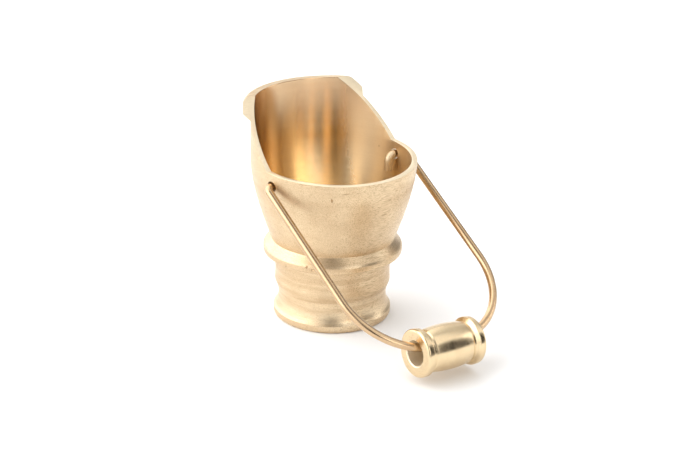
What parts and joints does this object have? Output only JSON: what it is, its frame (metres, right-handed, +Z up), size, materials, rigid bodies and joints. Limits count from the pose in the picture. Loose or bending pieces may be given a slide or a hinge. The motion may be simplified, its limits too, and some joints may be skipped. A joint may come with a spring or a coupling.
{
  "type": "miniature coal scuttle",
  "caption": "Miniature turned brass coal scuttle with a raised hood, cut-away mouth, collar, round foot, swinging wire bail and loose spool grip.",
  "frame": {"origin": "centre of the foot's flat underside, on the body's turning axis", "axes": "+Z up along the turning axis, +Y towards the hood, -Y towards the low front rim and the lowered bail, +X along the bail's pivot"},
  "size_m": [0.0373, 0.0591, 0.045],
  "materials": {
    "body_brass": "satin turned brass with fine lathe lines, bore brushed and brighter",
    "wire_brass": "drawn brass wire, a little darker and redder, polished",
    "grip_brass": "polished turned brass"
  },
  "bodies": {
    "scuttle": {"scuttle_body": "body_brass"},
    "bail": {"bail_wire": "wire_brass"},
    "grip": {"grip_spool": "grip_brass"}
  },
  "joints": [
    {"name": "bail_swing", "type": "hinge", "parent": "scuttle", "child": "bail", "pos_m": [0, -0.001, 0.031], "axis": [-1, 0, 0], "range_deg": [-1.4, 249]},
    {"name": "grip_spin", "type": "hinge", "parent": "bail", "child": "grip", "pos_m": [-0.0023, -0.0357, 0.00596], "axis": [0.9937, -0.1044, -0.0419], "continuous": true}
  ]
}
